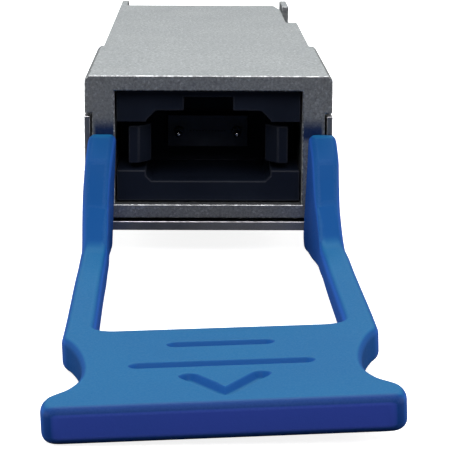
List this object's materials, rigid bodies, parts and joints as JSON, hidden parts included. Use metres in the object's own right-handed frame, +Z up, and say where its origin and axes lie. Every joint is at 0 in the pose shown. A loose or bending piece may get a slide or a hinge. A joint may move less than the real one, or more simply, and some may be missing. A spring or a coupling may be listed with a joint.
{
  "type": "optical transceiver module",
  "caption": "Pluggable optical transceiver with die-cast shells, a push-on multi-fibre port, a sprung latch slider with a pull tab, and a contact card at the rear.",
  "frame": {"origin": "centre of the bounding box's base: on the centre plane, level with the underside of the pull tab, halfway between the tab's front edge and the tips of the rear rails", "axes": "+Z up, towards the heat-sink face; +Y towards the contact card, so the port and the pull tab face -Y; +X to the right seen from the front"},
  "size_m": [0.0196, 0.1184, 0.0134],
  "materials": {
    "die_cast": "fine bead-blasted nickel on die-cast zinc",
    "latch_steel": "rolled stainless sheet",
    "spring_steel": "drawn wire",
    "screw_steel": "turned, lightly oiled",
    "blue_tab": "moulded, soft satin",
    "port_black": "moulded, fine texture",
    "ferrule_resin": "filled resin, polished end",
    "guide_pin_steel": "ground and polished",
    "lens_resin": "clear amber resin",
    "fibre": "coated fibre ribbon",
    "board": "solder mask on glass laminate",
    "contact_gold": "hard gold plate",
    "chip_black": "moulded package",
    "bare_die": "polished semiconductor",
    "can_metal": "plated lid",
    "ferrite": "pressed powder core",
    "thermal_silicone": "soft filled silicone",
    "shield_foam": "conductive elastomer",
    "label_film": "blank printed film"
  },
  "bodies": {
    "housing": {"top_shell": "die_cast", "bottom_shell": "die_cast", "cover_screw_front_left": "screw_steel", "cover_screw_front_right": "screw_steel", "cover_screw_rear_left": "screw_steel", "cover_screw_rear_right": "screw_steel", "bottom_label": "label_film", "return_spring_left": "spring_steel", "return_spring_right": "spring_steel", "mpo_receptacle": "port_black", "mt_ferrule": "ferrule_resin", "guide_pin_left": "guide_pin_steel", "guide_pin_right": "guide_pin_steel", "pin_keeper": "latch_steel", "shield_gasket": "shield_foam", "fibre_ribbon": "fibre", "circuit_board": "board", "edge_contacts_top": "contact_gold", "edge_contacts_bottom": "contact_gold", "lens_block": "lens_resin", "laser_array": "bare_die", "detector_array": "bare_die", "laser_driver": "bare_die", "receiver_amplifier": "bare_die", "retimer_transmit": "chip_black", "retimer_receive": "chip_black", "thermal_pad_left": "thermal_silicone", "thermal_pad_right": "thermal_silicone", "microcontroller": "chip_black", "supply_chip": "chip_black", "inductor_left": "ferrite", "inductor_right": "ferrite", "oscillator": "can_metal"},
    "latch": {"latch_slider": "latch_steel", "pull_tab": "blue_tab"},
    "hook_left": {"latch_hook_left": "port_black"},
    "hook_right": {"latch_hook_right": "port_black"}
  },
  "joints": [
    {"name": "latch_slide", "type": "slide", "parent": "housing", "child": "latch", "axis": [0, -1, 0], "range_m": [0, 0.0025], "stiffness_N_per_m": 1200, "springref_m": -0.001, "deforming": ["return_spring_left", "return_spring_right"]},
    {"name": "hook_left_flex", "type": "hinge", "parent": "housing", "child": "hook_left", "pos_m": [-0.0054, -0.0046, 0.0079], "axis": [0, 0, -1], "range_deg": [0, 6.5], "stiffness_Nm_per_rad": 0.02, "springref_deg": -0.57},
    {"name": "hook_right_flex", "type": "hinge", "parent": "housing", "child": "hook_right", "pos_m": [0.0054, -0.0046, 0.0079], "axis": [0, 0, 1], "range_deg": [0, 6.5], "stiffness_Nm_per_rad": 0.02, "springref_deg": -0.57}
  ]
}
